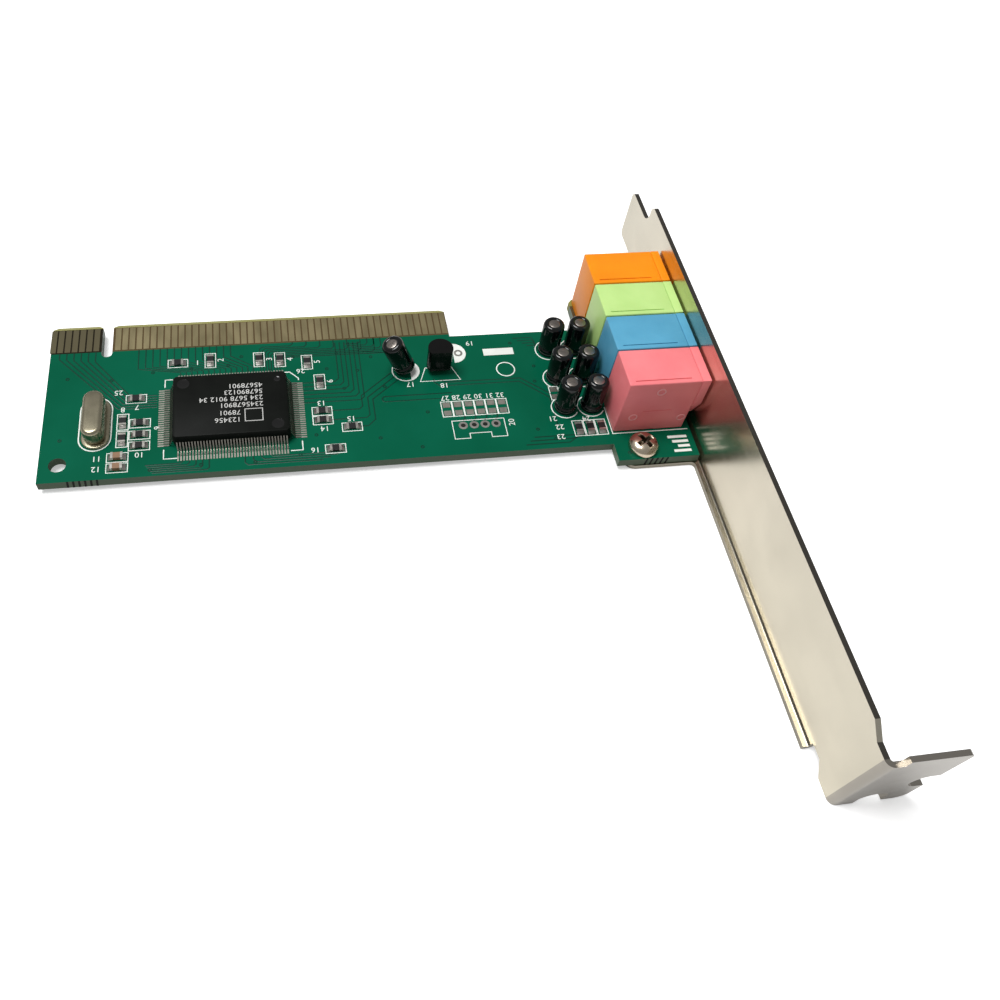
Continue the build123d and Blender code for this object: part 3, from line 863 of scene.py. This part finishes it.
def model_edge_bites():
    """Painted shade for the notches left where the board was broken out of its panel."""
    bites = []
    for start, count, step, y in ((-69.2, 6, 0.95, NEAR_EDGE), (29.9, 5, 0.95, -33.05)):
        outline = [(0.0, 0.0), (0.34, 0.0), (0.14, -1.6), (-0.20, -1.6)]
        points = [on_card(start + x, y - 0.03, z) for x, z in outline]
        bite = add_slab(points, Vector((0.0, 0.05 * MM, 0.0)))
        repeat(bite, count, (step * MM, 0.0, 0.0))
        bites.append(bite)
    publish(join(bites), "edge_bites", SHADE)


# Parts on the board


def model_chip():
    """The moulded body with its parting line, soft edges and the three round ejector marks."""
    centre = (chip_low + chip_high) / 2
    reach = (chip_high - chip_low) / 2
    chamfer = 0.5 * MM
    corners = []
    for side_x, side_y, first in ((-1, -1, True), (1, -1, False), (1, 1, True), (-1, 1, False)):
        along = Vector((centre.x + side_x * reach.x, centre.y + side_y * (reach.y - chamfer), chip_low.z))
        across = Vector((centre.x + side_x * (reach.x - chamfer), centre.y + side_y * reach.y, chip_low.z))
        corners += [along, across] if first else [across, along]
    body = add_slab(corners, Vector((0.0, 0.0, PARTING_HEIGHT)))
    parting = chip_low.z + PARTING_HEIGHT
    edit_where(body, lambda place: place.z < parting - 0.1 * MM)
    bpy.ops.transform.resize(value=(0.982, 0.974, 1.0))
    leave_edit()
    edit_where(body, lambda place: place.z > parting - 0.1 * MM)
    bpy.ops.mesh.extrude_region_move(TRANSFORM_OT_translate={"value": (0.0, 0.0, chip_high.z - parting)})
    bpy.ops.transform.resize(value=(0.981, 0.973, 1.0))
    leave_edit()
    soften(body, 0.10 * MM, 2, 40.0)
    marks = []
    for x, y, radius in ((-50.0, -11.8, 1.1), (-34.0, -22.0, 1.1), (-33.7, -11.8, 0.6)):
        place = on_card(x, y)
        place.z = chip_high.z
        carve(body, add_rod(place, radius * MM, 0.24 * MM))
        wall = radius - 0.01
        profile = [(0.0, -0.10), (radius * 0.7, -0.09), (wall, -0.03), (wall, -0.119), (0.0, -0.119)]
        dish = add_lathe(profile, 28)
        marks.append(twin(dish, place))
        discard(dish)
    publish(body, "chip_case", CHIP_BLACK, ("chip_body",), smooth=35.0)
    publish(join(marks), "chip_marks", MARK_BLACK, smooth=35.0)


def model_crystal():
    """A drawn can with rounded shoulders on its crimped base."""
    centre = (crystal_low + crystal_high) / 2
    base_x = (crystal_high.x - crystal_low.x) / MM
    base_y = (crystal_high.y - crystal_low.y) / MM
    rim = 0.55
    x = (centre.x - DATUM_X) / MM
    y = (centre.y - DATUM_Y) / MM
    outline = [on_card(*point) for point in obround(x, y, base_y, base_x)]
    base = add_slab(outline, Vector((0.0, 0.0, 0.5 * MM)))
    soften(base, 0.16 * MM, 3, 50.0)
    outline = [on_card(*point, 0.35) for point in obround(x, y, base_y - 2 * rim, base_x - 2 * rim)]
    can = add_slab(outline, Vector((0.0, 0.0, crystal_high.z - TOP - 0.35 * MM)))
    soften(can, 0.70 * MM, 5, 50.0)
    publish(join([base, can]), "crystal", CAN, ("crystal_can",), smooth=35.0)


def publish_sleeve(sleeve, number):
    node = f"capacitor_{number}"
    publish(sleeve, f"sleeve_{number}", SLEEVE_BLACK, (node,), smooth=35.0)


def model_capacitors():
    """Sleeved cans with a rolled groove, a rounded top edge, and a vented metal lid."""
    sleeve = add_lathe([(0.0, 0.1), (1.70, 0.0), (1.88, 0.12), (2.0, 0.3), (2.0, 1.15), (1.94, 1.28),
                        (1.80, 1.42), (1.80, 1.62), (1.94, 1.76), (2.0, 1.9), (2.0, 6.25), (1.96, 6.55),
                        (1.80, 6.84), (1.55, 6.98), (1.32, 7.0), (1.10, 6.95), (1.00, 6.84), (0.0, 6.84)])
    lid = add_lathe([(0.0, 6.84), (1.01, 6.84), (1.01, 6.87), (0.92, 6.91), (0.0, 6.92)])
    for turn in (20.0, 80.0, 140.0):
        line = add_box((-0.75 * MM, -0.05 * MM, 6.88 * MM), (0.75 * MM, 0.05 * MM, 7.1 * MM))
        line.rotation_euler.z = math.radians(turn)
        settle(line)
        carve(lid, line)
    turns = [0.0, 40.0, 75.0, 10.0, 60.0, 25.0]
    lids = []
    for index, (x, y) in enumerate(cap_places):
        turn = (0.0, 0.0, math.radians(turns[index]))
        body = twin(sleeve, on_card(x, y), turn)
        lids.append(twin(lid, on_card(x, y), turn))
        publish_sleeve(body, index + 1)
    seat = on_card(*leaning_place) + Vector((0.0, 0.0, 2.0 * MM * math.sin(LEAN)))
    tilt = (0.0, -LEAN, 0.0)
    publish_sleeve(twin(sleeve, seat, tilt), 7)
    lids.append(twin(lid, seat, tilt))
    discard(sleeve)
    discard(lid)
    publish(join(lids), "capacitor_lids", LID, smooth=35.0)


def model_screw():
    """A pan-head screw with a tapered cross recess."""
    tip = (screw_low.z - TOP) / MM
    screw = add_lathe([(0.0, tip), (1.45, tip), (1.45, 0.0), (2.62, 0.0), (2.7, 0.12), (2.7, 0.55),
                       (2.58, 0.95), (2.25, 1.35), (1.75, 1.66), (1.1, 1.84), (0.5, 1.89), (0.0, 1.9)], 48)
    for turn in (28.0, 118.0):
        blade = add_box((-1.95 * MM, -0.45 * MM, 0.5 * MM), (1.95 * MM, 0.45 * MM, 2.2 * MM))
        edit_where(blade, lambda place: place.z < 1.0 * MM)
        bpy.ops.transform.resize(value=(0.45, 0.75, 1.0))
        leave_edit()
        blade.rotation_euler.z = math.radians(turn)
        settle(blade)
        carve(screw, blade)
    soften(screw, 0.05 * MM, 1, 45.0)
    placed = twin(screw, Vector((screw_middle.x, screw_middle.y, TOP)))
    discard(screw)
    publish(placed, "pan_screw", BRONZE, ("bracket_screw",), smooth=35.0)


def model_jacks():
    """One moulded jack with its collar, nose, bore, parting groove and ejector marks, made four times."""
    half = (jack_high.y - jack_low.y) / 2 - JACK_SEAM
    tall = jack_high.z - TOP
    axis = JACK_AXIS
    face = plate_low.x - 0.3 * MM - jack_low.x
    collar_back = face - 1.6 * MM
    nose_end = jack_high.x - jack_low.x
    body = add_box((0.0, -half, 0.0), (collar_back + 0.01 * MM, half, tall))
    narrow = half * (1.0 - math.tan(math.radians(22.5)))
    foot = axis - half
    outline = [(-half, tall), (-half, axis), (-narrow, foot), (narrow, foot), (half, axis), (half, tall)]
    points = [Vector((collar_back, y, z)) for y, z in outline]
    collar = add_slab(points, Vector((face - collar_back, 0.0, 0.0)))
    soften(collar, 0.12 * MM, 2)
    soften(body, 0.22 * MM, 3)
    carve(body, collar, "UNION")
    sideways = (0.0, math.pi / 2, 0.0)
    nose_middle = ((face + nose_end) / 2 - 0.1 * MM, 0.0, axis)
    nose = add_rod(nose_middle, 3.0 * MM, nose_end - face + 0.2 * MM, sideways, 48)
    soften(nose, 0.15 * MM, 2, 60.0)
    carve(body, nose, "UNION")
    bore = add_rod((nose_end - 6.25 * MM, 0.0, axis), 1.8 * MM, 14.5 * MM, sideways, 48)
    carve(body, bore)
    groove_low = (1.2 * MM, -half + 0.82 * MM, tall - 0.20 * MM)
    groove_high = (11.2 * MM, -half + 1.0 * MM, tall + MM)
    carve(body, add_box(groove_low, groove_high))
    across = (math.pi / 2, 0.0, 0.0)
    for x, z in EJECTOR_PLACES:
        mark = add_rod((x * MM, -half, z * MM), 0.78 * MM, 0.36 * MM, across)
        carve(body, mark)
        boss = add_rod((x * MM, -half + 0.12 * MM, z * MM), 0.60 * MM, 0.2 * MM, across)
        carve(body, boss, "UNION")
    seam = add_box((4.2 * MM, -half - MM, 5.1 * MM), (9.4 * MM, -half + 0.10 * MM, 5.25 * MM))
    carve(body, seam)
    for colour_name in JACK_COLOURS:
        low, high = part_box("jack_" + colour_name)
        place = Vector((low.x, (low.y + high.y) / 2, TOP))
        jack = twin(body, place)
        publish(jack, "housing_" + colour_name, PLASTICS[colour_name],
                ("jack_" + colour_name,), smooth=35.0)
    discard(body)
    # Rims round the near jack's ejector marks, in the paler pink of the painted highlight.
    profile = [(0.62, -0.05), (0.62, 0.06), (0.70, 0.09), (0.80, 0.06), (0.80, -0.05), (0.62, -0.05)]
    rim = add_lathe(profile, 28)
    rims = []
    for x, z in EJECTOR_PLACES:
        place = Vector((jack_low.x + x * MM, jack_low.y + JACK_SEAM, TOP + z * MM))
        rims.append(twin(rim, place, across))
    discard(rim)
    publish(join(rims), "ejector_rims", PINK_RIM_HIGHLIGHT, smooth=40.0)


def model_bore_springs():
    """The sprung contacts that show in the bores of the jacks."""
    side_view = ((0.0, 0.0), (3.0, 0.0), (4.2, -0.55), (5.2, 0.0),
                 (5.2, 0.15), (4.2, -0.40), (3.0, 0.15), (0.0, 0.15))
    points = [Vector((x * MM, -0.45 * MM, z * MM)) for x, z in side_view]
    strip = add_slab(points, Vector((0.0, 0.9 * MM, 0.0)))
    springs = []
    for colour_name in JACK_COLOURS:
        low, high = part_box("jack_" + colour_name)
        axis = Vector((high.x - 11.5 * MM, (low.y + high.y) / 2, TOP + JACK_AXIS))
        springs.append(twin(strip, axis + Vector((0.0, 0.0, 1.62 * MM))))
        springs.append(twin(strip, axis + Vector((2.0 * MM, 0.0, -1.62 * MM)), (math.pi, 0.0, 0.0)))
    discard(strip)
    publish(join(springs), "bore_springs", TIN)


def model_solder_cones():
    """The solder round each lead on the underside."""
    cone = add_lathe([(0.0, 0.0), (0.85, 0.0), (0.80, -0.10), (0.56, -0.28),
                      (0.38, -0.48), (0.30, -0.62), (0.0, -0.66)], 20)
    places = [(x, y + side * 0.75) for x, y in cap_places + [leaning_place] for side in (-1, 1)]
    places += [(-4.0 + REGULATOR_STEP * i, -9.3) for i in (-1, 0, 1)]
    places += [(-65.0, -17.4 + side * 2.44) for side in (-1, 1)]
    near_side = jack_low.y - DATUM_Y - 0.05 * MM
    for i in range(len(JACK_COLOURS)):
        middle = near_side / MM + JACK_PITCH * (i + 0.5)
        places += [(25.3 + dx, middle + dy) for dx, dy in ((1.8, 0.0), (7.2, 2.6), (11.2, -2.6))]
    thick = TOP - UNDER
    cones = [twin(cone, on_card(x, y) - Vector((0.0, 0.0, thick))) for x, y in places]
    discard(cone)
    publish(join(cones), "solder_cones", TIN, smooth=50.0)


def round_small_edges():
    """Soft edges on the moulded and tinned solids that stay as they are."""
    for node, width in SOFT_EDGES:
        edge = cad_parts[node].modifiers.new("soft_edges", "BEVEL")
        edge.width = width * MM
        edge.segments = 2
        edge.limit_method = "ANGLE"
        edge.angle_limit = math.radians(50.0)


model_contacts_under()
model_chip_pads()
model_small_joints()
model_ring_pads()
model_vias()
model_tracks()
model_print()
model_numbers()
model_edge_bites()
model_chip()
model_crystal()
model_capacitors()
model_screw()
model_jacks()
model_bore_springs()
model_solder_cones()
round_small_edges()


# Camera, floor and light. The camera's place is in millimetres and its turn in degrees,
# solved from points in the photograph; the other lengths are metres.
CAMERA_PLACE = (-19.73, -86.40, 123.91)
CAMERA_TURN = (33.078, -3.745, -7.843)
SENSOR_WIDTH = 36.0
LENS = 31.845
LENS_SHIFT = (0.0801, 0.0285)
FLOOR_SIZE = 6.0
FLOOR_GAP = 0.1 * MM
PAPER_SEEN = 0.97
PAPER_LIT = 0.30
GLOW_REACH = (0.25, 1.10)
GLOW_LEVEL = (0.40, 0.72)
WORLD_SEEN = 1.0
WORLD_LIT = 0.34
KEY_PLACE = (-0.22, 0.10, 0.70)
KEY_SIZE = 0.35
KEY_POWER = 5.2


def place_camera():
    camera_data = bpy.data.cameras.new("camera")
    camera = bpy.data.objects.new("camera", camera_data)
    bpy.context.scene.collection.objects.link(camera)
    camera_data.sensor_width = SENSOR_WIDTH
    camera_data.lens = LENS
    camera_data.shift_x, camera_data.shift_y = LENS_SHIFT
    camera_data.clip_start = 0.005
    camera_data.clip_end = 20.0
    camera.location = Vector(CAMERA_PLACE) * MM
    camera.rotation_euler = [math.radians(angle) for angle in CAMERA_TURN]
    bpy.context.scene.camera = camera


def lay_floor():
    """A white sheet that the camera and mirrors see as white, and that throws little light back up."""
    deselect()
    bpy.ops.mesh.primitive_plane_add(size=FLOOR_SIZE, location=(0.0, 0.0, cad_low.z - FLOOR_GAP))
    floor = bpy.context.active_object
    floor.name = "floor"
    material, shader = new_material("studio_paper", (0.93, 0.93, 0.93), 0.8)
    shader.inputs["Specular IOR Level"].default_value = 0.0
    nodes = material.node_tree.nodes
    links = material.node_tree.links
    path = nodes.new("ShaderNodeLightPath")
    seen = nodes.new("ShaderNodeMath")
    seen.operation = "MAXIMUM"
    links.new(path.outputs["Is Camera Ray"], seen.inputs[0])
    links.new(path.outputs["Is Glossy Ray"], seen.inputs[1])
    paper = nodes.new("ShaderNodeMix")
    paper.data_type = "RGBA"
    paper.inputs["A"].default_value = (PAPER_LIT, PAPER_LIT, PAPER_LIT, 1.0)
    paper.inputs["B"].default_value = (PAPER_SEEN, PAPER_SEEN, PAPER_SEEN, 1.0)
    links.new(seen.outputs["Value"], paper.inputs["Factor"])
    links.new(paper.outputs["Result"], shader.inputs["Base Color"])
    glow = nodes.new("ShaderNodeMath")
    glow.operation = "MULTIPLY"
    links.new(path.outputs["Is Camera Ray"], glow.inputs[0])
    place = nodes.new("ShaderNodeTexCoord")
    reach = nodes.new("ShaderNodeVectorMath")
    reach.operation = "LENGTH"
    far = nodes.new("ShaderNodeMapRange")
    far.inputs["From Min"].default_value = GLOW_REACH[0]
    far.inputs["From Max"].default_value = GLOW_REACH[1]
    far.inputs["To Min"].default_value = GLOW_LEVEL[0]
    far.inputs["To Max"].default_value = GLOW_LEVEL[1]
    links.new(place.outputs["Object"], reach.inputs[0])
    links.new(reach.outputs["Value"], far.inputs["Value"])
    links.new(far.outputs["Result"], glow.inputs[1])
    shader.inputs["Emission Color"].default_value = (1.0, 1.0, 1.0, 1.0)
    links.new(glow.outputs["Value"], shader.inputs["Emission Strength"])
    side = nodes.new("ShaderNodeNewGeometry")
    clear = nodes.new("ShaderNodeBsdfTransparent")
    either = nodes.new("ShaderNodeMixShader")
    links.new(side.outputs["Backfacing"], either.inputs["Fac"])
    links.new(shader.outputs["BSDF"], either.inputs[1])
    links.new(clear.outputs["BSDF"], either.inputs[2])
    links.new(either.outputs["Shader"], nodes["Material Output"].inputs["Surface"])
    floor.data.materials.append(material)


def soft_lamp(name, place, aim, size, power):
    lamp_data = bpy.data.lights.new(name, "AREA")
    lamp_data.shape = "SQUARE"
    lamp_data.size = size
    lamp_data.energy = power
    lamp = bpy.data.objects.new(name, lamp_data)
    bpy.context.scene.collection.objects.link(lamp)
    lamp.location = place
    lamp.rotation_euler = (Vector(aim) - Vector(place)).to_track_quat("-Z", "Y").to_euler()


def light_studio():
    world = bpy.data.worlds.new("studio")
    bpy.context.scene.world = world
    world.use_nodes = True
    background = world.node_tree.nodes["Background"]
    background.inputs["Color"].default_value = (1.0, 1.0, 1.0, 1.0)
    path = world.node_tree.nodes.new("ShaderNodeLightPath")
    level = world.node_tree.nodes.new("ShaderNodeMapRange")
    level.inputs["To Min"].default_value = WORLD_LIT
    level.inputs["To Max"].default_value = WORLD_SEEN
    world.node_tree.links.new(path.outputs["Is Camera Ray"], level.inputs["Value"])
    world.node_tree.links.new(level.outputs["Result"], background.inputs["Strength"])
    soft_lamp("key_lamp", KEY_PLACE, (0.0, 0.0, 0.0), KEY_SIZE, KEY_POWER)


place_camera()
lay_floor()
light_studio()
bpy.context.scene.view_settings.view_transform = "Standard"
